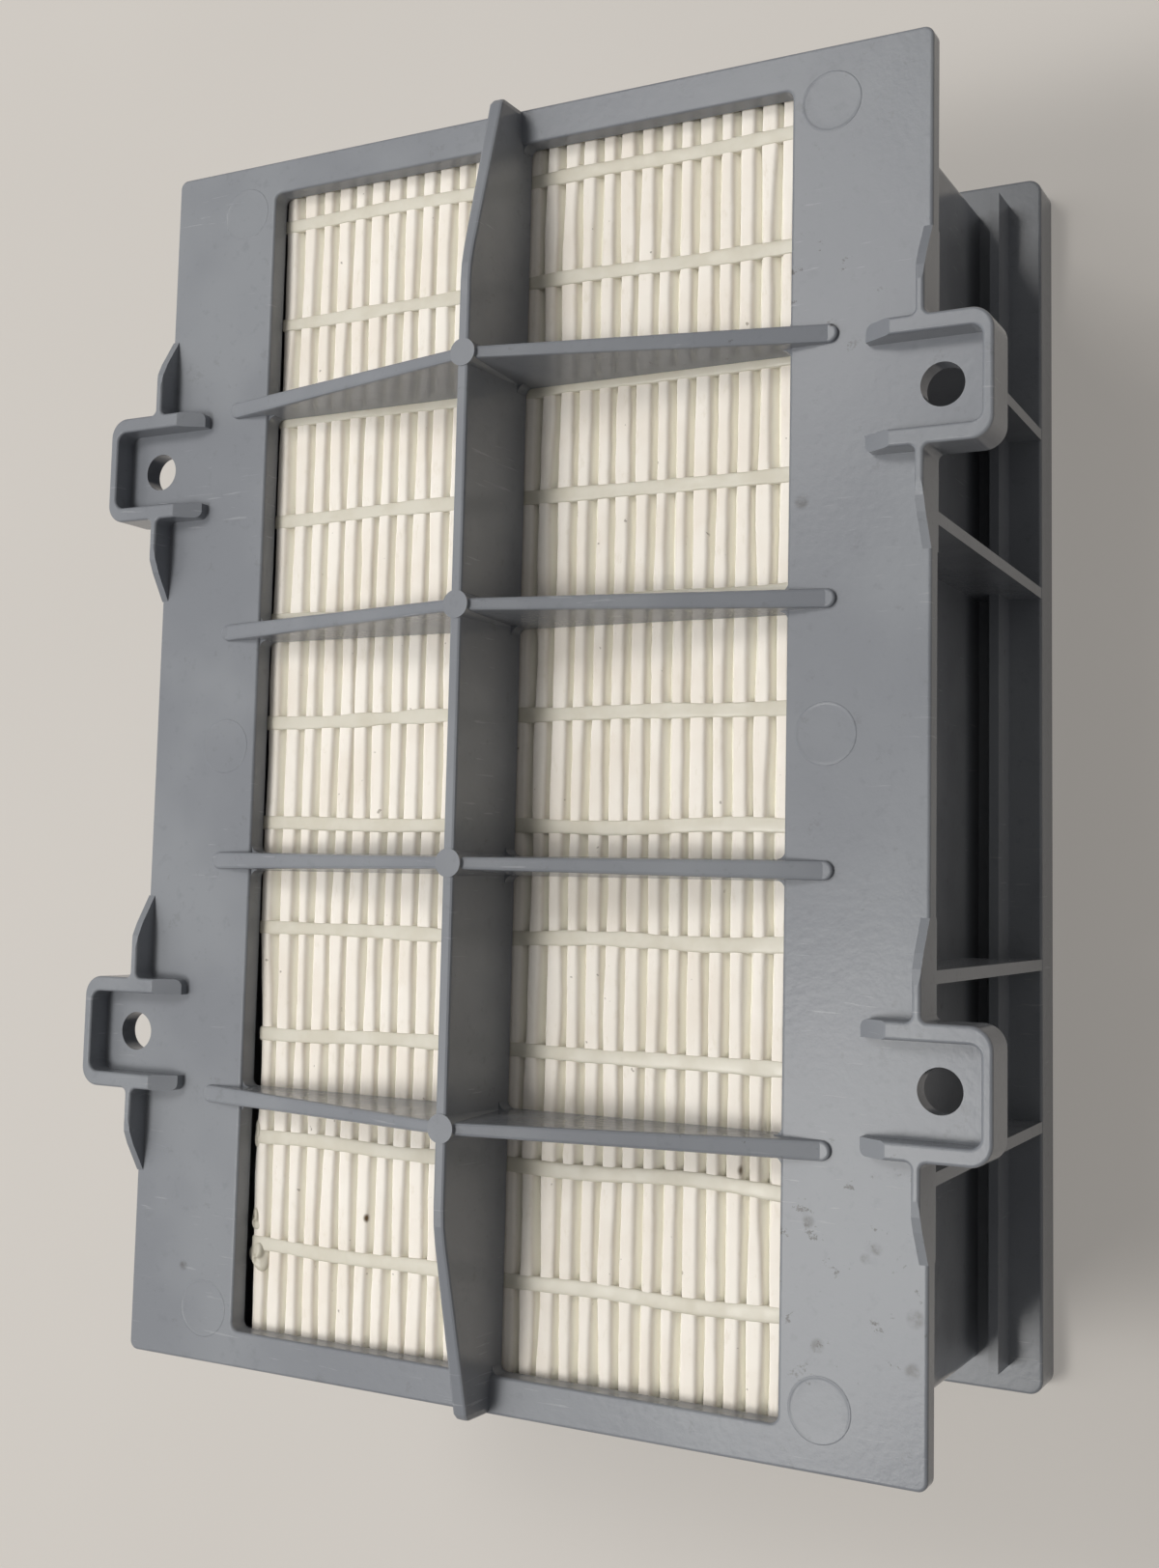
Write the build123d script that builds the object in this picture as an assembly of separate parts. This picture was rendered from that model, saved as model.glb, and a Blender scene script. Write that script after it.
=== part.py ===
from build123d import *
import os

os.makedirs("parts", exist_ok=True)

# Driving dimensions in millimetres. X is the short way, Y the long way, Z up through the front grille.
plate_l = 190.0  # front plate
plate_w = 128.4
plate_t = 3.1
plate_r = 1.4
open_end = 5.35  # plate edge to the opening in it
open_side = 19.9
open_r = 1.2
edge_round = 0.45  # rounding of the plate's free edges

rib_h = 13.1  # grille ribs, above the plate
rib_end_h = 5.5
rib_ramp = 27.5
rib_top_w = 1.75
rib_draft = 0.035  # sideways per millimetre of height, each side
rib_round = 0.4
rib_ease = 2.5  # run over which the central rib's knee is eased
rib_nose = 1.0  # rounding of the central rib's ends
window_r = 1.1  # inside corners of the grille's windows
cross_count = 4
cross_overlap = 5.7  # run of a cross rib on to the plate
cross_tip_h = 0.7
boss_d = 4.0
boss_proud = 0.15

hole_d = 6.0  # lugs
hole_out = 1.4  # plate edge to the hole centre
hole_span_y = 91.2
lug_reach = 7.7  # hole centre to outer face
lug_l = 17.3
lug_h = 3.9
lug_end_t = 1.5
lug_leg_t = 2.35
lug_leg_in = 10.0  # hole centre to the legs' tips
lug_ramp = 4.0
lug_r = 3.0
lug_tip_h = 1.5
edge_wall_t = 1.2
edge_wall_flat = 15.3  # from hole centre to the end of the full height
edge_wall_foot = 21.7
edge_wall_ease = 2.0  # run over which the wall's knee is eased
edge_wall_r = 0.9  # inside corners where it meets the lug

spool_gap = 63.8  # between the front plate and the rear flange
box_t = 2.0
box_inset = 11.8  # plate edge to the box's side wall
box_end_inset = 0.9
flange_over = 3.4  # the flange beyond the plate's ends
flange_under = 1.6  # and short of its sides
flange_t = 3.0
flange_r = 2.2
skirt_h = 7.3
skirt_t = 2.0
flange_rib_h = 6.7
flange_rib_t = 1.5
flange_rib_in = 5.25  # flange edge to the rib's outer face
flange_rib_end = 4.0
web_t = 1.75
web_y = (54.8, 28.5, -31.5, -57.0)

pleat_count = 28
media_t = 0.4
fold_cut = 0.3
pack_side_gap = 0.8  # opening edge to the pack's side
pack_end_gap = 0.6  # box end wall to the pack's end
pack_drop = 0.5  # plate underside to the folds
pack_depth = 62.0
bead_count = 11
bead_first = 4.5  # opening end to the first bead row
bead_last = 12.6  # other opening end to the last row
bead_w = 2.0
bead_depth = 2.4
bead_proud = 0.2
sealant_h = 12.0

# Levels and derived sizes
flange_top = skirt_h
plate_low = flange_top + spool_gap
plate_top = plate_low + plate_t
open_w = plate_w - 2 * open_side
open_l = plate_l - 2 * open_end
flange_w = plate_w - 2 * flange_under
flange_l = plate_l + 2 * flange_over
box_x = plate_w / 2 - box_inset
in_x = box_x - box_t
box_y = plate_l / 2 - box_end_inset
in_y = box_y - box_t
cross_x = open_w / 2 + cross_overlap
cross_pitch = (open_l + rib_top_w) / (cross_count + 1)
rib_foot = rib_top_w / 2 + (rib_h + plate_t) * rib_draft
hole_x = plate_w / 2 + hole_out
hole_y = hole_span_y / 2
lug_x = hole_x + lug_reach
pack_x = open_w / 2 - pack_side_gap
pack_y = in_y - pack_end_gap
fold_top = plate_low - pack_drop
fold_low = fold_top - pack_depth
pleat_pitch = (2 * pack_x - media_t) / (pleat_count - 0.5)
fold_half = (pleat_pitch / 2 + media_t) / 2
bead_pitch = (open_l - bead_first - bead_last) / (bead_count - 1)
fold_x = [-pack_x + fold_half + pleat_pitch * i for i in range(pleat_count)]


def slab(w, l, r, z0, z1):
    return Pos(0, 0, z0) * extrude(RectangleRounded(w, l, r), z1 - z0)


def block(x0, x1, y0, y1, z0, z1):
    return Pos((x0 + x1) / 2, (y0 + y1) / 2, (z0 + z1) / 2) * Box(x1 - x0, y1 - y0, z1 - z0)


def prism_y(points, y0, y1):
    face = make_face(Polyline(*[(x, y0, z) for x, z in points], close=True))
    return extrude(face, y1 - y0, dir=(0, 1, 0))


def prism_x(points, x0, x1):
    face = make_face(Polyline(*[(x0, y, z) for y, z in points], close=True))
    return extrude(face, x1 - x0, dir=(1, 0, 0))


def rib_section(height, slim=0.0):
    top = plate_top + height
    half = rib_top_w / 2 + (rib_h - height) * rib_draft - slim
    foot = rib_foot - slim
    side = [(foot, plate_low), (half, top - rib_round), (half - 0.3 * rib_round, top - 0.3 * rib_round)]
    side.append((half - rib_round, top))
    return side + [(-u, z) for u, z in reversed(side)]


def rib_along_y(stations):
    rows = [[(u, y, z) for u, z in rib_section(h, slim)] for y, h, slim in stations]
    return loft([make_face(Polyline(*row, close=True)) for row in rows], ruled=True)


def rib_along_x(y, stations):
    rows = [[(x, y + u, z) for u, z in rib_section(h)] for x, h in stations]
    return loft([make_face(Polyline(*row, close=True)) for row in rows], ruled=True)


# Front plate with its opening
plate = slab(plate_w, plate_l, plate_r, plate_low, plate_top)
plate = fillet(plate.edges().filter_by(Plane.XY), edge_round)
opening = slab(open_w, open_l, open_r, plate_low - 1, plate_top + 1)
plate -= opening
rim = [e for e in plate.edges().filter_by_position(Axis.Z, plate_top, plate_top)]
rim = [e for e in rim if abs(e.center().X) < open_w / 2 + 0.1 and abs(e.center().Y) < open_l / 2 + 0.1]
plate = fillet(rim, edge_round)

# Grille ribs and the round bosses where they cross
end_y = plate_l / 2
knee_y = end_y - rib_ramp
drop = (rib_h - rib_end_h) / rib_ramp
half_rib = [(knee_y - rib_ease, rib_h, 0), (knee_y, rib_h - drop * rib_ease / 4, 0)]
half_rib += [(knee_y + rib_ease, rib_h - drop * rib_ease, 0), (end_y - rib_nose, rib_end_h + drop * rib_nose, 0)]
half_rib += [(end_y - 0.3 * rib_nose, rib_end_h - 0.3 * rib_nose, 0.2 * rib_nose)]
half_rib += [(end_y, rib_end_h - rib_nose, 0.55 * rib_nose)]
grille = rib_along_y([(-y, h, slim) for y, h, slim in reversed(half_rib)] + half_rib)
cross_y = [cross_pitch * (i - (cross_count - 1) / 2) for i in range(cross_count)]
boss_top = plate_top + rib_h + boss_proud
tip_r = rib_top_w / 2 + (rib_h - cross_tip_h) * rib_draft
tip = fillet(Cylinder(tip_r, plate_t + cross_tip_h).edges().sort_by(Axis.Z)[-1], rib_round)
for y in cross_y:
    grille += rib_along_x(y, [(-cross_x, cross_tip_h), (0, rib_h), (cross_x, cross_tip_h)])
    grille += Pos(0, y, (plate_low + boss_top) / 2) * Cylinder(boss_d / 2, boss_top - plate_low)
    for x in (-cross_x, cross_x):
        grille += Pos(x, y, (plate_low + plate_top + cross_tip_h) / 2) * tip

# Rounded inside corners of the windows, where ribs meet each other and the plate
sink = rib_round
gusset = Pos((window_r - sink) / 2, (window_r - sink) / 2) * Rectangle(window_r + sink, window_r + sink)
gusset = extrude(gusset - Pos(window_r, window_r) * Circle(window_r), plate_t - edge_round)
corners = []
for y in cross_y:
    corners += [(rib_foot, y + rib_foot, 1, 1), (rib_foot, y - rib_foot, 1, -1)]
    corners += [(open_w / 2, y + rib_foot, -1, 1), (open_w / 2, y - rib_foot, -1, -1)]
corners += [(rib_foot, open_l / 2, 1, -1), (rib_foot, -open_l / 2, 1, 1)]
for x, y, sx, sy in corners:
    piece = gusset if sy > 0 else mirror(gusset, Plane.XZ)
    piece = piece if sx > 0 else mirror(piece, Plane.YZ)
    piece = Pos(x, y, plate_low) * piece
    grille += [piece, mirror(piece, Plane.YZ)]

# One lug with its raised wall, for the corner at plus X and plus Y
lug_in = hole_x - lug_leg_in
wall_top = plate_top + lug_h
outline = Pos((lug_in + lug_x) / 2, hole_y) * Rectangle(lug_x - lug_in, lug_l)
outline = fillet(outline.vertices().sort_by(Axis.X)[-2:], lug_r)
outline = fillet(outline.vertices().sort_by(Axis.X)[:2], lug_leg_t / 2.2)
floor = Pos(0, 0, plate_low) * extrude(outline, plate_t)
pocket_x = lug_x - lug_end_t
pocket = Pos((lug_in + pocket_x) / 2 - 1, hole_y) * Rectangle(pocket_x - lug_in + 2, lug_l - 2 * lug_leg_t)
pocket = fillet(pocket.vertices().sort_by(Axis.X)[-2:], lug_r - lug_end_t)
rim_x = plate_w / 2 - edge_wall_t
strip_y = lug_l / 2 - lug_leg_t / 2
plan = outline - pocket
for side in (-1, 1):
    strip_mid = hole_y + side * (strip_y + edge_wall_foot) / 2
    plan += Pos(rim_x + edge_wall_t / 2, strip_mid) * Rectangle(edge_wall_t, edge_wall_foot - strip_y)
inside = [v for v in plan.vertices() if abs(abs(v.Y - hole_y) - lug_l / 2) < 0.01 and rim_x - 0.01 < v.X < plate_w / 2 + 0.01]
plan = fillet(inside, edge_wall_r)
wall = Pos(0, 0, plate_low) * extrude(plan, plate_t + lug_h)
slope = [(lug_in - 1, plate_low), (lug_in - 1, plate_top + lug_tip_h), (lug_in, plate_top + lug_tip_h)]
slope += [(lug_in + lug_ramp, wall_top), (lug_x + 1, wall_top), (lug_x + 1, plate_low)]
wall = wall & prism_y(slope, hole_y - 2 * lug_l, hole_y + 2 * lug_l)
fall = lug_h / (edge_wall_foot - edge_wall_flat)
run = [(edge_wall_flat - edge_wall_ease, wall_top), (edge_wall_flat, wall_top - fall * edge_wall_ease / 4)]
run += [(edge_wall_flat + edge_wall_ease, wall_top - fall * edge_wall_ease), (edge_wall_foot, plate_top)]
run += [(edge_wall_foot, plate_low)]
run = [(hole_y - y, z) for y, z in reversed(run)] + [(hole_y + y, z) for y, z in run]
wall = wall & prism_x(run, lug_in - 1, lug_x + 1)
crest = [e for e in wall.edges().filter_by_position(Axis.Z, wall_top, wall_top)]
crest = [e for e in crest if abs(e.center().Y - hole_y) < edge_wall_flat - edge_wall_ease - 0.01]
wall = fillet(crest, edge_round)
lug = floor + wall
lugs = lug + mirror(lug, Plane.XZ)
lugs += mirror(lugs, Plane.YZ)

# Box behind the plate, rear flange with its skirt, ribs on the flange and the webs
box = slab(2 * box_x, 2 * box_y, plate_r, 0, plate_low)
flange = slab(flange_w, flange_l, flange_r, 0, flange_top)
flange = fillet(flange.edges().filter_by_position(Axis.Z, flange_top, flange_top), edge_round)
hollow = slab(flange_w - 2 * skirt_t, flange_l - 2 * skirt_t, flange_r / 2, 0, flange_top - flange_t)
hollow -= slab(2 * box_x, 2 * box_y, plate_r, 0, flange_top)
body = box + (flange - hollow)
rib_x = flange_w / 2 - flange_rib_in
rib_y = flange_l / 2 - flange_rib_end
web_shape = [(box_x - box_t / 2, flange_top - flange_t), (flange_w / 2 - edge_round, flange_top - flange_t)]
web_shape += [(flange_w / 2 - edge_round, flange_top - edge_round), (flange_w / 2, flange_top)]
web_shape += [(plate_w / 2, plate_low), (plate_w / 2 - edge_round, plate_low + edge_round)]
web_shape += [(plate_w / 2 - edge_round, plate_low + plate_t / 2), (box_x - box_t / 2, plate_low + plate_t / 2)]
side_set = block(rib_x - flange_rib_t, rib_x, -rib_y, rib_y, flange_top - flange_t, flange_top + flange_rib_h)
for y in web_y:
    side_set += prism_y(web_shape, y - web_t / 2, y + web_t / 2)
body += side_set
body += mirror(side_set, Plane.YZ)
body -= block(-in_x, in_x, -in_y, in_y, -1, plate_low)
frame = plate + body + lugs + grille
hole = Cylinder(hole_d / 2, plate_t + 2)
for x in (-hole_x, hole_x):
    for y in (-hole_y, hole_y):
        frame -= Pos(x, y, plate_low + plate_t / 2) * hole

# Folded paper pack, one sheet
sheet_front = [(-pack_x, fold_low)]
sheet_back = [(-pack_x + media_t, fold_low)]
for i, x in enumerate(fold_x):
    a = fold_half
    b = fold_half - media_t
    sheet_front += [(x - a, fold_top - fold_cut), (x - a + fold_cut, fold_top)]
    sheet_front += [(x + a - fold_cut, fold_top), (x + a, fold_top - fold_cut)]
    sheet_back += [(x - b, fold_top - media_t), (x + b, fold_top - media_t)]
    if i < pleat_count - 1:
        n = fold_x[i + 1]
        sheet_front += [(x + a, fold_low + media_t), (n - a, fold_low + media_t)]
        sheet_back += [(x + b, fold_low + fold_cut), (x + b + fold_cut, fold_low)]
        sheet_back += [(n - b - fold_cut, fold_low), (n - b, fold_low + fold_cut)]
sheet_front.append((pack_x, fold_low))
sheet_back.append((pack_x - media_t, fold_low))
pack = prism_y(sheet_front + sheet_back[::-1], -pack_y, pack_y)

# Hot-melt strands across the folds, front and rear
front_line = [(-pack_x, fold_top + bead_proud)]
rear_line = [(-pack_x, fold_low - bead_proud), (-pack_x, fold_low), (-pack_x + media_t, fold_low)]
for i, x in enumerate(fold_x):
    a = fold_half
    b = fold_half - media_t
    front_line += [(x - a, fold_top - fold_cut), (x - a + fold_cut, fold_top)]
    front_line += [(x + a - fold_cut, fold_top), (x + a, fold_top - fold_cut)]
    rear_line += [(x - b, fold_low + bead_depth), (x + b, fold_low + bead_depth)]
    if i < pleat_count - 1:
        n = fold_x[i + 1]
        front_line += [(x + a, fold_top - bead_depth), (n - a, fold_top - bead_depth)]
        rear_line += [(x + b, fold_low + fold_cut), (x + b + fold_cut, fold_low)]
        rear_line += [(n - b - fold_cut, fold_low), (n - b, fold_low + fold_cut)]
front_line.append((pack_x, fold_top + bead_proud))
rear_line += [(pack_x - media_t, fold_low), (pack_x, fold_low), (pack_x, fold_low - bead_proud)]

# Sealant round the rear of the pack, between it and the box
sealant = block(-in_x, in_x, -in_y, in_y, fold_low, fold_low + sealant_h)
sealant -= block(-pack_x, pack_x, -pack_y, pack_y, fold_low - 1, fold_low + sealant_h + 1)

export_step(frame, "parts/filter_frame.step")
export_step(pack, "parts/pleat_pack.step")
export_step(sealant, "parts/edge_sealant.step")
for k in range(bead_count):
    y = open_l / 2 - bead_first - k * bead_pitch
    export_step(prism_y(front_line, y - bead_w / 2, y + bead_w / 2), f"parts/front_bead_{k + 1:02d}.step")
    export_step(prism_y(rear_line, y - bead_w / 2, y + bead_w / 2), f"parts/rear_bead_{k + 1:02d}.step")
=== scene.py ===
import math
import bpy
import numpy as np
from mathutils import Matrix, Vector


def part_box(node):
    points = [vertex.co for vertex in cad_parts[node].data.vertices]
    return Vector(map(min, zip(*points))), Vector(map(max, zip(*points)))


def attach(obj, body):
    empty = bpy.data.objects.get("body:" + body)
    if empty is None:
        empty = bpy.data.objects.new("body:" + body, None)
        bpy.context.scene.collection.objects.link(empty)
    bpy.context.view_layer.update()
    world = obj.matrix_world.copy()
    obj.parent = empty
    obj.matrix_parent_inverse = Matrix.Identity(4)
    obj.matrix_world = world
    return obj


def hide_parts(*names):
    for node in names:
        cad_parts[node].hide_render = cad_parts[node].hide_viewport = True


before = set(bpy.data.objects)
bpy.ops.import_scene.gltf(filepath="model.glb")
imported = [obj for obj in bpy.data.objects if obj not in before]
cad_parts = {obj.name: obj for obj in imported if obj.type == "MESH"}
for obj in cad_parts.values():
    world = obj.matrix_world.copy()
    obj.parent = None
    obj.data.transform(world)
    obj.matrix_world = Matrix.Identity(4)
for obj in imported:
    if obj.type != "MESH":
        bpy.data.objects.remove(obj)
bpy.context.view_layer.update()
mm = 0.001

# Levels and places read from the frame, in millimetres
packLow, packHigh = (np.array(c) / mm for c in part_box("pleat_pack"))
sealLow, sealHigh = (np.array(c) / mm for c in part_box("edge_sealant"))
tipsBelowPlate = 3.6
plateTop = packHigh[2] + tipsBelowPlate
strandRows = 11


def meshPiece(name, points, faces, material, body="root", smooth=True):
    mesh = bpy.data.meshes.new(name)
    mesh.from_pydata((points * mm).tolist(), [], faces if isinstance(faces, list) else faces.tolist())
    mesh.update()
    mesh.polygons.foreach_set("use_smooth", np.full(len(mesh.polygons), smooth))
    mesh.materials.append(material)
    piece = bpy.data.objects.new(name, mesh)
    bpy.context.scene.collection.objects.link(piece)
    if body:
        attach(piece, body)
    return piece


# Quads between neighbouring rows and columns of a grid, closed round either way where asked
def gridFaces(rows, columns, closeRows=False, closeColumns=False):
    i = np.arange(rows if closeRows else rows - 1)[:, None]
    j = np.arange(columns if closeColumns else columns - 1)[None, :]
    up, along = (i + 1) % rows, (j + 1) % columns
    corners = [i * columns + j, i * columns + along, up * columns + along, up * columns + j]
    return np.stack(corners, -1).reshape(-1, 4)


# Smooth seeded wander: a sum of cosines with random phase and weight, a row of values for each row asked
def wander(draw, rows, along, shortest, waves=9, start=None, end=None):
    start = along.min() if start is None else start
    span = (along.max() if end is None else end) - start
    cycles = np.linspace(0.6, span / shortest, waves)
    phase = draw.uniform(0, 2 * np.pi, (rows, waves, 1))
    weight = draw.normal(0, 1, (rows, waves, 1)) / np.sqrt(waves)
    turn = 2 * np.pi * cycles[None, :, None] * ((along - start) / span)[None, None, :]
    return (weight * np.cos(turn + phase)).sum(1)


class Shader:
    # A material as a short chain of nodes ending in one Principled shader
    def __init__(self, name):
        self.material = bpy.data.materials.new(name)
        self.material.use_nodes = True
        self.tree = self.material.node_tree
        self.surface = self.tree.nodes["Principled BSDF"]
        place = self.tree.nodes.new("ShaderNodeTexCoord")
        self.where, self.facing = place.outputs["Object"], place.outputs["Normal"]

    def put(self, kind, settings=None, **inputs):
        node = self.tree.nodes.new(kind)
        for key, value in (settings or {}).items():
            setattr(node, key, value)
        for key, value in inputs.items():
            self.feed(node.inputs[key.replace("_", " ")], value)
        return node

    def feed(self, socket, value):
        if isinstance(value, bpy.types.NodeSocket):
            self.tree.links.new(value, socket)
        else:
            socket.default_value = value

    def set(self, **inputs):
        for key, value in inputs.items():
            self.feed(self.surface.inputs[key.replace("_", " ")], value)

    def noise(self, scale, detail=3.0, rough=0.55, stretch=(1, 1, 1), turn=(0, 0, 0), distortion=0.0):
        place = self.put("ShaderNodeMapping", None, Vector=self.where, Scale=stretch, Rotation=turn)
        return self.put("ShaderNodeTexNoise", None, Vector=place.outputs[0], Scale=scale, Detail=detail,
                        Roughness=rough, Distortion=distortion).outputs["Fac"]

    def steps(self, value, low, high, toLow=0.0, toHigh=1.0):
        node = self.put("ShaderNodeMapRange", {"interpolation_type": "SMOOTHSTEP"})
        for index, number in enumerate((value, low, high, toLow, toHigh)):
            self.feed(node.inputs[index], number)
        return node.outputs[0]

    def calc(self, kind, first, second):
        node = self.put("ShaderNodeMath", {"operation": kind})
        self.feed(node.inputs[0], first)
        self.feed(node.inputs[1], second)
        return node.outputs[0]

    def mix(self, share, first, second):
        node = self.put("ShaderNodeMix", {"data_type": "RGBA"})
        self.feed(node.inputs[0], share)
        self.feed(node.inputs[6], first)
        self.feed(node.inputs[7], second)
        return node.outputs[2]

    def bump(self, height, depth, strength=1.0, under=None):
        node = self.put("ShaderNodeBump", None, Height=height, Distance=depth, Strength=strength)
        if under is not None:
            self.tree.links.new(under, node.inputs["Normal"])
        return node.outputs[0]

    def near(self, centre, reach):
        # One at a point, falling to nought at the reach, in metres
        gap = self.put("ShaderNodeVectorMath", {"operation": "DISTANCE"})
        self.feed(gap.inputs[0], self.where)
        self.feed(gap.inputs[1], centre)
        return self.steps(gap.outputs["Value"], reach * 0.35, reach, 1.0, 0.0)


def rgb(red, green, blue):
    # Eight-bit screen colour to linear
    c = np.array([red, green, blue]) / 255.0
    return tuple(np.where(c <= 0.04045, c / 12.92, ((c + 0.055) / 1.055) ** 2.4)) + (1.0,)


framePlastic = {"face": (118, 121, 127), "pale": (130, 133, 138), "dark": (98, 101, 107),
                "smudge": (66, 64, 62), "scratch": (170, 172, 175), "faceRough": 0.42, "sideRough": 0.20,
                "peelSize": 950, "peelDepth": 0.00004, "grainSize": 3200, "grainDepth": 0.00002,
                "specular": 0.28, "coat": 0.12, "coatRough": 0.16,
                "grubby": [((0.055, -0.070, 0.0742), 0.024), ((0.030, 0.0540, 0.0810), 0.014),
                           ((0.036, -0.0530, 0.0800), 0.014), ((0.046, 0.060, 0.0742), 0.016),
                           ((-0.026, 0.092, 0.0742), 0.014)],
                "spots": [(48.3, -63.5, 1.1), (57.5, -66.0, 1.0), (56.0, -67.4, 0.9), (49.7, -79.0, 1.2),
                          (62.6, -74.0, 1.5), (62.2, -80.4, 1.3), (46.3, 31.5, 1.3), (-54.1, -81.0, 1.0)]}


def makeFramePlastic(look):
    s = Shader("frame_plastic")
    cloud = s.noise(28, 3, 0.6)
    colour = s.mix(s.steps(cloud, 0.38, 0.66), rgb(*look["face"]), rgb(*look["pale"]))
    fine = s.noise(520, 4, 0.6)
    colour = s.mix(s.steps(fine, 0.56, 0.74, 0, 0.22), colour, rgb(*look["dark"]))
    scratch = s.noise(150, 2, 0.5, (1, 14, 1), (0, 0, 0.6), 0.4)
    scratch = s.calc("MULTIPLY", s.steps(scratch, 0.66, 0.72), s.steps(s.noise(42, 2), 0.5, 0.6))
    colour = s.mix(s.calc("MULTIPLY", scratch, 0.30), colour, rgb(*look["scratch"]))
    # Handling marks: dark flecks that gather at a few places
    fleck = s.steps(s.noise(300, 5, 0.72), 0.62, 0.68)
    spread = 0.14
    for centre, reach in look["grubby"]:
        spread = s.calc("MAXIMUM", s.calc("MULTIPLY", s.near(centre, reach), 0.85), spread)
    colour = s.mix(s.calc("MULTIPLY", fleck, spread), colour, rgb(*look["smudge"]))
    blot = 0.0
    for x, y, reach in look["spots"]:
        blot = s.calc("MAXIMUM", blot, s.near((x * mm, y * mm, plateTop * mm), reach * mm))
    blot = s.calc("MULTIPLY", blot, s.steps(s.noise(700, 3, 0.6), 0.32, 0.62, 0.15, 0.62))
    colour = s.mix(blot, colour, rgb(*look["smudge"]))
    peel = s.noise(look["peelSize"], 2, 0.5)
    grain = s.noise(look["grainSize"], 2, 0.5)
    low = s.bump(peel, look["peelDepth"], 0.55)
    normal = s.bump(s.calc("ADD", grain, s.calc("MULTIPLY", scratch, -0.8)), look["grainDepth"], 0.5, low)
    # Faces that look up are satin, the drawn sides of ribs and walls are smoother
    up = s.put("ShaderNodeSeparateXYZ", None, Vector=s.facing).outputs["Z"]
    level = s.steps(s.calc("ABSOLUTE", up, 0.0), 0.35, 0.8, look["sideRough"], look["faceRough"])
    rough = s.calc("ADD", level, s.steps(cloud, 0.3, 0.7, -0.05, 0.06))
    s.set(Base_Color=colour, Roughness=rough, Normal=normal, Specular_IOR_Level=look["specular"])
    s.set(Coat_Weight=look["coat"], Coat_Roughness=look["coatRough"], Coat_Normal=low)
    return s.material


# Paper colours; the colour for deep in the folds is painted light, paler to brighten the shaded valleys
filterPaper = {"tip": (246, 240, 231), "fold": (240, 232, 221), "fibre": (224, 215, 197),
               "inside": (255, 252, 242), "speck": (96, 76, 52), "fade": 1.0, "tipBand": 0.3, "roughness": 0.95,
               "specks": [((0.0377, -0.0585, 0.0706), 0.0011), ((-0.0226, -0.0711, 0.0706), 0.0009)]}


def makeFilterPaper(look):
    s = Shader("filter_paper")
    cloud = s.noise(70, 3, 0.6)
    colour = s.mix(s.steps(cloud, 0.35, 0.68), rgb(*look["tip"]), rgb(*look["fold"]))
    fibre = s.noise(900, 4, 0.7, (1, 0.35, 1))
    colour = s.mix(s.steps(fibre, 0.55, 0.72, 0, 0.35), colour, rgb(*look["fibre"]))
    speck = s.steps(s.noise(640, 2, 0.5), 0.74, 0.77, 0, 0.5)
    for centre, reach in look["specks"]:
        speck = s.calc("MAXIMUM", speck, s.near(centre, reach))
    colour = s.mix(speck, colour, rgb(*look["speck"]))
    # Painted light: the paper is painted paler down in the folds than near their tips, to brighten the shaded
    # valleys between folds
    level = s.put("ShaderNodeSeparateXYZ", None, Vector=s.where).outputs["Z"]
    middle, reach = (packHigh[2] + packLow[2]) / 2 * mm, (packHigh[2] - packLow[2]) / 2 * mm
    outer = s.calc("ABSOLUTE", s.calc("SUBTRACT", level, middle), 0.0)
    nearTip = s.steps(outer, reach - look["fade"] * mm, reach - look["tipBand"] * mm)
    colour = s.mix(nearTip, rgb(*look["inside"]), colour)
    normal = s.bump(s.noise(1500, 4, 0.7), 0.00005, 0.5, s.bump(s.noise(330, 3, 0.6), 0.00010, 0.45))
    s.set(Base_Color=colour, Roughness=look["roughness"], Normal=normal, Specular_IOR_Level=0.15)
    return s.material


hotMelt = {"body": (211, 206, 192), "thin": (204, 198, 182), "roughness": 0.42}


def makeHotMelt(look):
    s = Shader("hot_melt")
    cloud = s.noise(180, 3, 0.6)
    colour = s.mix(s.steps(cloud, 0.36, 0.66), rgb(*look["body"]), rgb(*look["thin"]))
    normal = s.bump(s.noise(420, 3, 0.6), 0.00008, 0.4)
    rough = s.steps(s.noise(260, 2), 0.3, 0.7, look["roughness"] - 0.08, look["roughness"] + 0.12)
    s.set(Base_Color=colour, Roughness=rough, Normal=normal, Specular_IOR_Level=0.4)
    return s.material


edgeSealant = {"body": (206, 200, 186), "shade": (186, 178, 160), "roughness": 0.5}


def makeEdgeSealant(look):
    s = Shader("edge_sealant")
    colour = s.mix(s.steps(s.noise(60, 3), 0.35, 0.68), rgb(*look["body"]), rgb(*look["shade"]))
    normal = s.bump(s.noise(240, 3, 0.6), 0.0002, 0.6)
    s.set(Base_Color=colour, Roughness=look["roughness"], Normal=normal)
    return s.material


plasticSkin = makeFramePlastic(framePlastic)
paperSkin = makeFilterPaper(filterPaper)
meltSkin = makeHotMelt(hotMelt)
sealSkin = makeEdgeSealant(edgeSealant)
print("materials made")

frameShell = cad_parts["filter_frame"]
frameShell.data.materials.clear()
frameShell.data.materials.append(plasticSkin)

pleatSheet = {"seed": 71, "pleats": 28, "paper": 0.40, "stations": 96, "leftRound": 0.08, "rightRound": 0.24,
              "lowRound": 0.30, "sway": 0.14, "breadth": 0.12, "each": 0.13, "fray": 0.045, "dip": 0.10,
              "crown": 0.01, "shoulder": 0.16, "swell": 0.70, "swellDrop": 0.9, "slit": 0.35, "footRise": 6,
              "lean": 1.0, "leanFrom": -62, "leanOver": 40, "leanFolds": 1.2}
stationY = np.linspace(packLow[1], packHigh[1], pleatSheet["stations"])
pleatPitch = (packHigh[0] - packLow[0] - pleatSheet["paper"]) / (pleatSheet["pleats"] - 0.5)
tipHalf = (pleatPitch / 2 + pleatSheet["paper"]) / 2
pleatX = packLow[0] + tipHalf + pleatPitch * np.arange(pleatSheet["pleats"])


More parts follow.
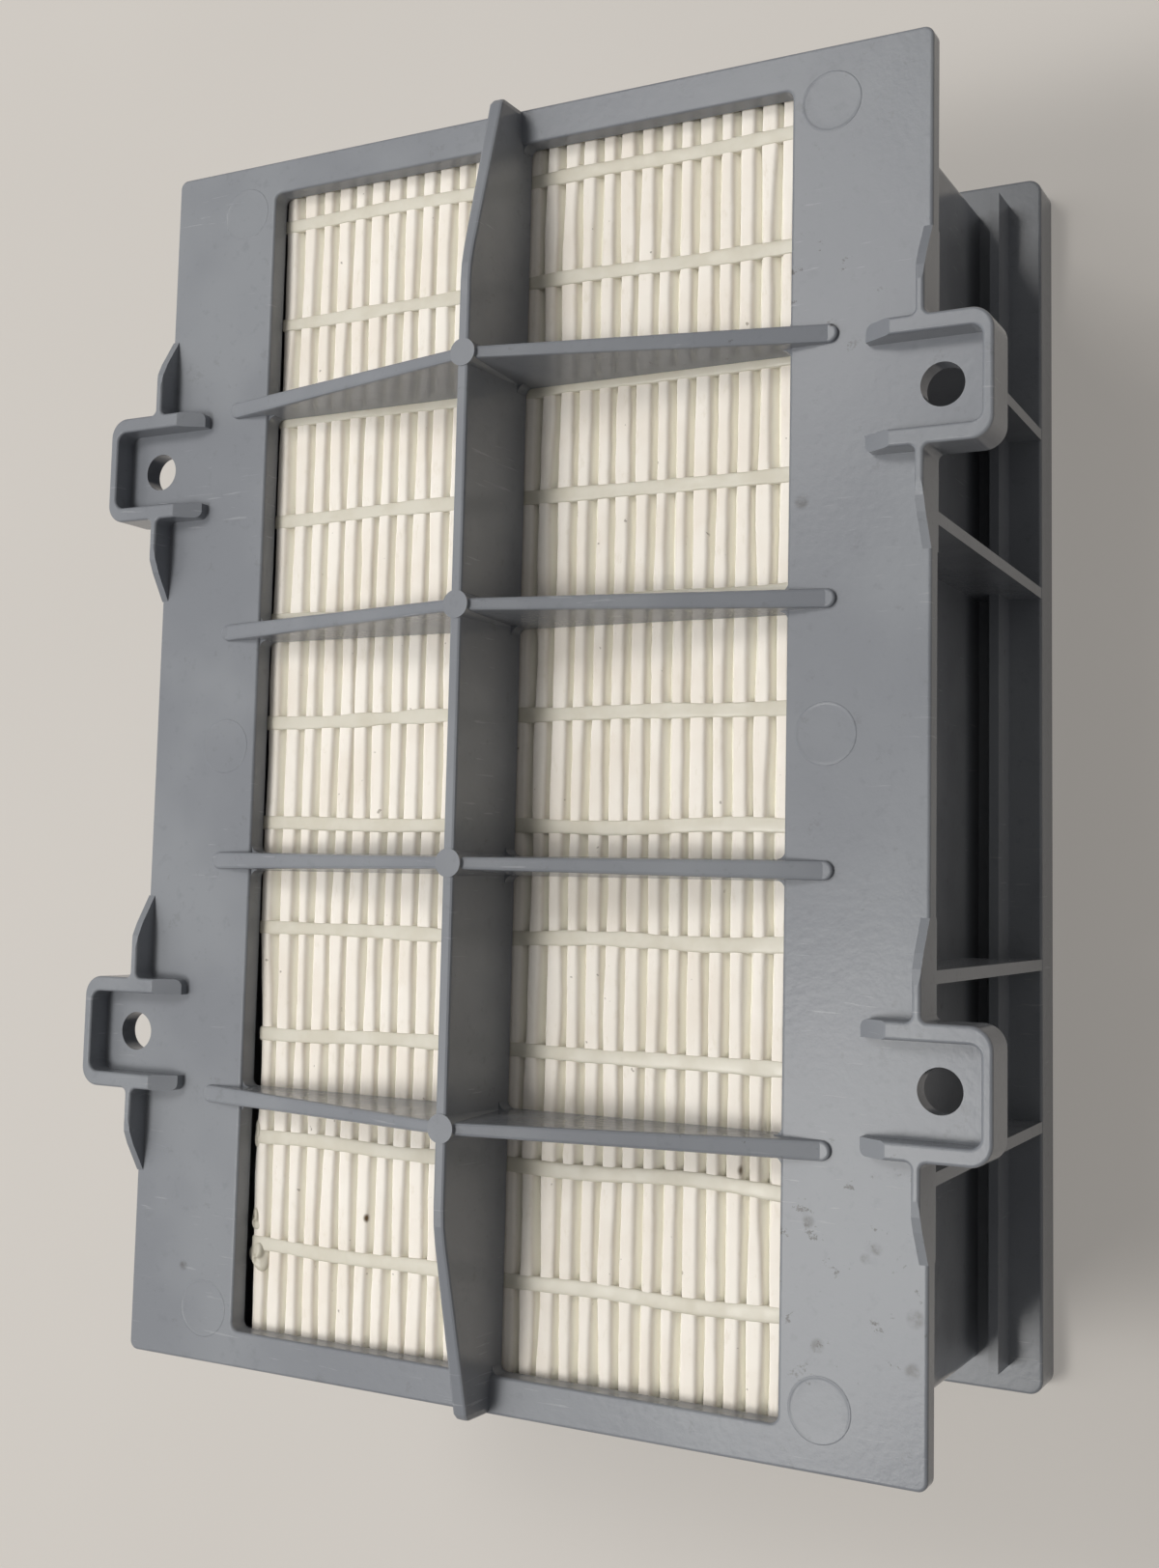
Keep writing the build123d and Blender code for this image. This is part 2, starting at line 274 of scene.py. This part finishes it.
# Where each fold's middle, half breadth and tip lie at each station: the even fold plus slow and quick wander
def foldLines(look, along):
    draw = np.random.default_rng(look["seed"])
    count = look["pleats"]
    ends = {"start": packLow[1], "end": packHigh[1]}
    middle = pleatX[:, None] + look["sway"] * wander(draw, count, along, 34, **ends)
    slow = wander(draw, count, along, 26, **ends)
    own = draw.normal(0, 1, (count, 1))
    quick = wander(draw, count, along, 5, 24, **ends)
    half = tipHalf * (1 + look["breadth"] * slow + look["each"] * own + look["fray"] * quick)
    half = np.clip(half, tipHalf * 0.70, tipHalf * 1.22) - look["paper"] / 2
    tip = packHigh[2] - look["dip"] * np.abs(wander(draw, count, along, 40, **ends))
    # The first folds lean out towards the wall, except at the near end
    share = np.clip((along - look["leanFrom"]) / look["leanOver"], 0, 1)
    ease = share ** 2 * (3 - 2 * share)
    fade = np.exp(-np.arange(count) / look["leanFolds"])
    middle = middle - look["lean"] * ease[None, :] * fade[:, None]
    return middle, half, tip


# The folded sheet: a square wave with rounded corners, offset half the paper either way and carried along Y
def makePleatSheet(look):
    middle, half, tip = foldLines(look, stationY)
    count, stations = middle.shape
    t = look["paper"] / 2
    low = packLow[2] + t
    r, soft, q = look["leftRound"], look["rightRound"], look["lowRound"]
    turn = np.array([0, 0.25, 0.5])[None, :, None] * np.pi
    sides = []
    for off in (t, -t):
        rows = []
        left, right, top = (middle - half)[:, None, :], (middle + half)[:, None, :], (tip - t)[:, None, :]
        nextLeft = np.concatenate([left[1:], right[-1:] + 2 * half[-1:, None, :]], 0)
        one = np.ones_like(left)
        # Below the tips the paper swells until neighbouring folds almost meet
        swell = np.clip((nextLeft - right - 2 * t - look["slit"]) / 2, 0, look["swell"])
        swellBefore = np.concatenate([swell[:1], swell[:-1]], 0)
        rows.append((left - off, one * (low + look["footRise"])))
        rows.append((left - off - swellBefore, top - r - look["swellDrop"]))
        rows.append((left + r - (r + off) * np.cos(turn), top - r + (r + off) * np.sin(turn)))
        rows.append((left + r + look["shoulder"], top + off + look["crown"]))
        rows.append((right - soft - look["shoulder"], top + off + look["crown"]))
        rows.append((right - soft + (soft + off) * np.sin(turn), top - soft + (soft + off) * np.cos(turn)))
        rows.append((right + off + swell, top - soft - look["swellDrop"]))
        rows.append((right + off, one * (low + look["footRise"])))
        rows.append((right + q - (q - off) * np.cos(turn), low + q - (q - off) * np.sin(turn) + 0 * right))
        rows.append((nextLeft - q + (q - off) * np.sin(turn), low + q - (q - off) * np.cos(turn) + 0 * right))
        x = np.concatenate([np.broadcast_to(a, np.broadcast_shapes(a.shape, b.shape)) for a, b in rows], 1)
        z = np.concatenate([np.broadcast_to(b, np.broadcast_shapes(a.shape, b.shape)) for a, b in rows], 1)
        x, z = x.reshape(-1, stations)[:-6], z.reshape(-1, stations)[:-6]
        x = np.concatenate([x[:1], x, x[-1:]], 0)
        z = np.concatenate([np.full((1, stations), packLow[2]), z, np.full((1, stations), packLow[2])], 0)
        sides.append((x, z))
    x = np.concatenate([sides[0][0], sides[1][0][::-1]], 0)
    z = np.concatenate([sides[0][1], sides[1][1][::-1]], 0)
    y = np.broadcast_to(stationY, x.shape)
    around = len(x)
    points = np.stack([x, y, z], -1).reshape(-1, 3)
    skin = gridFaces(around, stations, closeRows=True)
    pair = np.arange(around // 2 - 1)
    quad = np.stack([pair, pair + 1, around - 2 - pair, around - 1 - pair], -1) * stations
    return points, np.concatenate([skin[:, ::-1], quad[:, ::-1], quad + stations - 1], 0)


sheetPoints, sheetFaces = makePleatSheet(pleatSheet)
sheetPiece = meshPiece("pleatSheet", sheetPoints, sheetFaces, paperSkin)
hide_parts("pleat_pack")
print("folded sheet", len(sheetFaces), "faces")

strand = {"seed": 33, "half": 1.05, "proud": 0.15, "sag": 0.02, "depth": 2.3, "tuck": 0.2, "edge": 0.25,
          "ramp": 0.05, "sway": 0.22, "around": 20, "perFold": 4}


# A strand of glue: a flat section with rounded shoulders carried along X, level on top,
# whose foot drops in between the folds
def makeStrand(look, node, front, seed):
    low, high = (np.array(c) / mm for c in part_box(node))
    draw = np.random.default_rng(look["seed"] + seed)
    rowY = (low[1] + high[1]) / 2
    middle, half = (field[:, 0] for field in foldLines(pleatSheet, np.array([rowY]))[:2])
    half = half + pleatSheet["paper"] / 2
    ramp = look["ramp"]
    inset, outset = look["tuck"] + ramp, look["tuck"] - ramp
    if front:
        edges = np.stack([middle - half + inset, middle + half - inset], -1)
    else:
        edges = np.stack([middle[:-1] + half[:-1] - outset, middle[1:] - half[1:] + outset], -1)
    inner = np.linspace(0, 1, look["perFold"])
    on = edges[:, :1] + (edges[:, 1:] - edges[:, :1]) * inner
    gap = np.concatenate([edges[:, 1:] + 2 * ramp, np.append(edges[1:, 0] - 2 * ramp, high[0])[:, None]], 1)
    off = gap[:, :1] + (gap[:, 1:] - gap[:, :1]) * inner
    x = np.stack([on, off], 1).reshape(-1)
    resting = np.tile(np.repeat([1.0, 0.0], look["perFold"]), len(edges))
    lead = np.linspace(min(low[0], x[0] - 6 * ramp), x[0] - 2 * ramp, look["perFold"])
    x, resting = np.concatenate([lead, x]), np.concatenate([np.zeros(len(lead)), resting])
    x = np.maximum.accumulate(x) + 0.0001 * np.arange(len(x))
    bow = np.sin(np.pi * np.tile(inner, len(x) // look["perFold"])) * (1 - resting)
    reach = look["half"] * (1 + 0.08 * wander(draw, 1, x, 9)[0] + 0.05 * bow)
    shift = look["sway"] * wander(draw, 1, x, 30)[0]
    crest = look["proud"] * (1 + 0.25 * wander(draw, 1, x, 9)[0]) - look["sag"] * bow
    foot = np.where(resting > 0, -look["tuck"], -look["depth"])[:, None]
    turn = np.linspace(0, 2 * np.pi, look["around"], endpoint=False)[None, :]
    across = np.sign(np.cos(turn)) * np.abs(np.cos(turn)) ** 0.5
    rise = np.abs(np.sin(turn))
    edge, crest = look["edge"], crest[:, None]
    upper = crest - (crest + edge) * (1 - rise ** 0.5)
    lower = -edge + (foot + edge) * rise ** 2
    height = np.where(np.sin(turn) >= 0, upper, lower)
    y = rowY + shift[:, None] + reach[:, None] * across
    level = packHigh[2] + height if front else packLow[2] - height
    points = np.stack([np.broadcast_to(x[:, None], y.shape), y, level], -1).reshape(-1, 3)
    n = look["around"]
    faces = gridFaces(len(x), n, closeColumns=True)
    ends = np.arange(n // 2 - 1)
    cap = np.stack([ends, ends + 1, n - 2 - ends, n - 1 - ends], -1)
    last = cap + (len(x) - 1) * n
    if front:
        faces = np.concatenate([faces[:, ::-1], cap, last[:, ::-1]], 0)
    else:
        faces = np.concatenate([faces, cap[:, ::-1], last], 0)
    piece = meshPiece(node.replace("_bead_", "Strand"), points, faces, meltSkin)
    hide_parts(node)
    return piece


for row in range(1, strandRows + 1):
    makeStrand(strand, f"front_bead_{row:02d}", True, row)
    makeStrand(strand, f"rear_bead_{row:02d}", False, 50 + row)
print("glue strands laid")

sealRing = {"seed": 5, "around": 260, "across": 9, "lift": 0.9, "swell": 0.7, "packGap": 0.05, "wallGap": 0.02,
            "underInset": 0.2, "overInset": 0.4}


# The sealing run: a ring blended from the rectangle of the pack to that of the box,
# its underside and top arched and lumpy
def makeSealRing(look):
    draw = np.random.default_rng(look["seed"])
    around, across = look["around"], look["across"]
    inner = (packHigh[:2] - packLow[:2]) / 2 + look["packGap"]
    outer = (sealHigh[:2] - sealLow[:2]) / 2 - look["wallGap"]
    turn = np.linspace(0, 2 * np.pi, around, endpoint=False)
    ways = np.stack([np.cos(turn), np.sin(turn)], -1)
    square = ways / np.abs(ways).max(1, keepdims=True)
    share = np.linspace(0, 1, across)[:, None]
    flat = square * (inner * (1 - share[..., None]) + outer * share[..., None])
    lump = look["lift"] * wander(draw, across, turn, 0.12, 14)
    bulge = look["swell"] * np.sin(np.pi * share) * (1 + 0.5 * lump)
    under = sealLow[2] + look["underInset"] + bulge
    over = sealHigh[2] - look["overInset"] - bulge
    flat = np.concatenate([flat, flat[::-1]], 0)
    level = np.concatenate([under, over[::-1]], 0)
    points = np.concatenate([flat, level[..., None]], -1).reshape(-1, 3)
    return points, gridFaces(2 * across, around, True, True)[:, ::-1]


ringPoints, ringFaces = makeSealRing(sealRing)
ringPiece = meshPiece("sealRing", ringPoints, ringFaces, sealSkin)
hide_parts("edge_sealant")

pinMark = {"places": [(50.0, 87.0), (50.0, 0.0), (50.0, -87.0), (-50.0, 87.0), (-50.0, 0.0), (-50.0, -87.0)],
           "radius": 4.2, "ridge": 0.055, "pad": 0.02, "around": 96}


# Round mark on the plate: a flat pad with a low rounded ridge at its edge, turned about its middle
def makePinMark(look, number, place):
    turn = np.linspace(0, 2 * np.pi, look["around"], endpoint=False)[None, :]
    reach = np.array([0.02, 0.5, 0.9, 0.94, 0.965, 0.985, 1.0, 1.015, 1.03])[:, None] * look["radius"]
    pad, ridge = look["pad"], look["ridge"]
    level = np.array([pad, pad, pad, 0.03, 0.05, ridge, 0.05, 0.025, -0.02])[:, None]
    x = place[0] + reach * np.cos(turn)
    y = place[1] + reach * np.sin(turn)
    points = np.stack([x, y, plateTop + level + 0 * turn], -1).reshape(-1, 3)
    faces = gridFaces(len(reach), look["around"], False, True)[:, ::-1].tolist()
    faces.append(list(range(look["around"])))
    return meshPiece(f"pinMark{number}", points, faces, plasticSkin)


for number, place in enumerate(pinMark["places"], 1):
    makePinMark(pinMark, number, place)

glueLump = {"places": [((-42.4, -78.8), (1.7, 2.2, 1.4)), ((-43.2, -73.4), (1.0, 1.8, 1.0)),
                       ((-43.4, -60.6), (0.8, 2.2, 0.9))],
            "rough": 0.16, "sink": 0.7, "around": 36, "rings": 18}


# A blob of squeezed-out glue: a sphere whose radius wanders with both angles
def makeGlueLump(look, number, place, size):
    draw = np.random.default_rng(number)
    n, rings = look["around"], look["rings"]
    turn = np.linspace(0, 2 * np.pi, n, endpoint=False)[None, :]
    rise = np.linspace(0.001, np.pi - 0.001, rings)[:, None]
    lobes = np.cos(3 * turn + draw.uniform(0, 6)) * np.sin(rise) ** 2
    swell = 1 + look["rough"] * (lobes + np.cos(2 * turn - 4 * rise))
    x = place[0] + size[0] * swell * np.sin(rise) * np.cos(turn)
    y = place[1] + size[1] * swell * np.sin(rise) * np.sin(turn)
    z = packHigh[2] - look["sink"] + size[2] * swell * np.cos(rise) + 0 * turn
    points = np.stack([x, y, z], -1).reshape(-1, 3)
    poles = [list(range(n)), list(range(rings * n - 1, (rings - 1) * n - 1, -1))]
    faces = gridFaces(rings, n, False, True)[:, ::-1].tolist() + poles
    return meshPiece(f"glueLump{number}", points, faces, meltSkin)


for number, (place, size) in enumerate(glueLump["places"], 1):
    makeGlueLump(glueLump, number, place, size)
print("sealing ring, round marks and glue lumps made")

table = {"half": 3.0, "colour": (206, 201, 195), "shade": (204, 199, 193), "lift": 0.36, "roughness": 0.6}


def makeTable(look):
    s = Shader("table_top")
    colour = s.mix(s.steps(s.noise(6, 3), 0.35, 0.65), rgb(*look["colour"]), rgb(*look["shade"]))
    s.set(Base_Color=colour, Roughness=look["roughness"], Specular_IOR_Level=0.25)
    # A pale ground: the camera and reflections see part of the table at its own plain colour
    ray = s.put("ShaderNodeLightPath")
    seen = s.calc("MAXIMUM", ray.outputs["Is Camera Ray"], ray.outputs["Is Glossy Ray"])
    seen = s.calc("MAXIMUM", seen, ray.outputs["Is Transmission Ray"])
    glow = s.put("ShaderNodeEmission", None, Color=colour)
    ground = s.put("ShaderNodeMixShader", None, Fac=s.calc("MULTIPLY", seen, look["lift"]))
    s.tree.links.new(s.surface.outputs[0], ground.inputs[1])
    s.tree.links.new(glow.outputs[0], ground.inputs[2])
    s.tree.links.new(ground.outputs[0], s.tree.nodes["Material Output"].inputs["Surface"])
    side = look["half"] / mm
    corners = np.array([[-side, -side, 0], [side, -side, 0], [side, side, 0], [-side, side, 0]], float)
    top = meshPiece("tableTop", corners, np.array([[0, 1, 2, 3]]), s.material, None, False)


makeTable(table)

lampAim = (0.0, 0.0, 0.06)
warm, cool = (1.0, 0.985, 0.955), (0.97, 0.985, 1.0)
lamps = {"ceilingNear": {"place": (-0.37, -0.29, 1.27), "size": 0.36, "power": 8.2, "tint": warm},
         "ceilingFar": {"place": (-0.40, 0.50, 1.20), "size": 0.36, "power": 4.6, "tint": warm},
         "window": {"place": (-1.30, 0.05, 1.10), "size": 1.60, "power": 7.4, "tint": cool}}


def makeLamp(name, look):
    light = bpy.data.lights.new(name, "AREA")
    light.shape = "SQUARE"
    light.size = look["size"]
    light.energy = look["power"]
    light.color = look["tint"]
    lamp = bpy.data.objects.new(name, light)
    bpy.context.scene.collection.objects.link(lamp)
    place = np.array(look["place"])
    away = place - np.array(lampAim)
    lamp.location = place
    tilt = math.atan2(math.hypot(away[0], away[1]), away[2])
    lamp.rotation_euler = (tilt, 0, math.atan2(away[0], -away[1]))


for name, look in lamps.items():
    makeLamp(name, look)

room = {"colour": (0.95, 0.94, 0.92, 1), "light": 0.21, "seen": 0.66}


# Weak even light from all round, seen by the camera and in reflections as a pale wall
def makeRoom(look):
    world = bpy.data.worlds.new("room")
    bpy.context.scene.world = world
    world.use_nodes = True
    tree = world.node_tree
    sky = tree.nodes["Background"]
    sky.inputs["Color"].default_value = look["colour"]
    ray = tree.nodes.new("ShaderNodeLightPath")
    seen = ray.outputs["Is Camera Ray"]
    for other in ("Is Glossy Ray", "Is Transmission Ray"):
        either = tree.nodes.new("ShaderNodeMath")
        either.operation = "MAXIMUM"
        tree.links.new(seen, either.inputs[0])
        tree.links.new(ray.outputs[other], either.inputs[1])
        seen = either.outputs[0]
    strength = tree.nodes.new("ShaderNodeMapRange")
    strength.inputs["To Min"].default_value = look["light"]
    strength.inputs["To Max"].default_value = look["seen"]
    tree.links.new(seen, strength.inputs["Value"])
    tree.links.new(strength.outputs[0], sky.inputs["Strength"])


makeRoom(room)

view = {"place": (0.13224, -0.021654, 0.303037), "turn": (0.107198, 0.498461, 0.027713), "lens": 41.7888,
        "shift": (0.024631, -0.041256)}
shot = bpy.data.cameras.new("shot")
shot.sensor_width = 36.0
shot.lens = view["lens"]
shot.shift_x, shot.shift_y = view["shift"]
shot.clip_start, shot.clip_end = 0.01, 20.0
camera = bpy.data.objects.new("shot", shot)
bpy.context.scene.collection.objects.link(camera)
camera.location = view["place"]
camera.rotation_euler = view["turn"]
bpy.context.scene.camera = camera
bpy.context.scene.view_settings.view_transform = "Standard"
print("table, lamps and camera set")
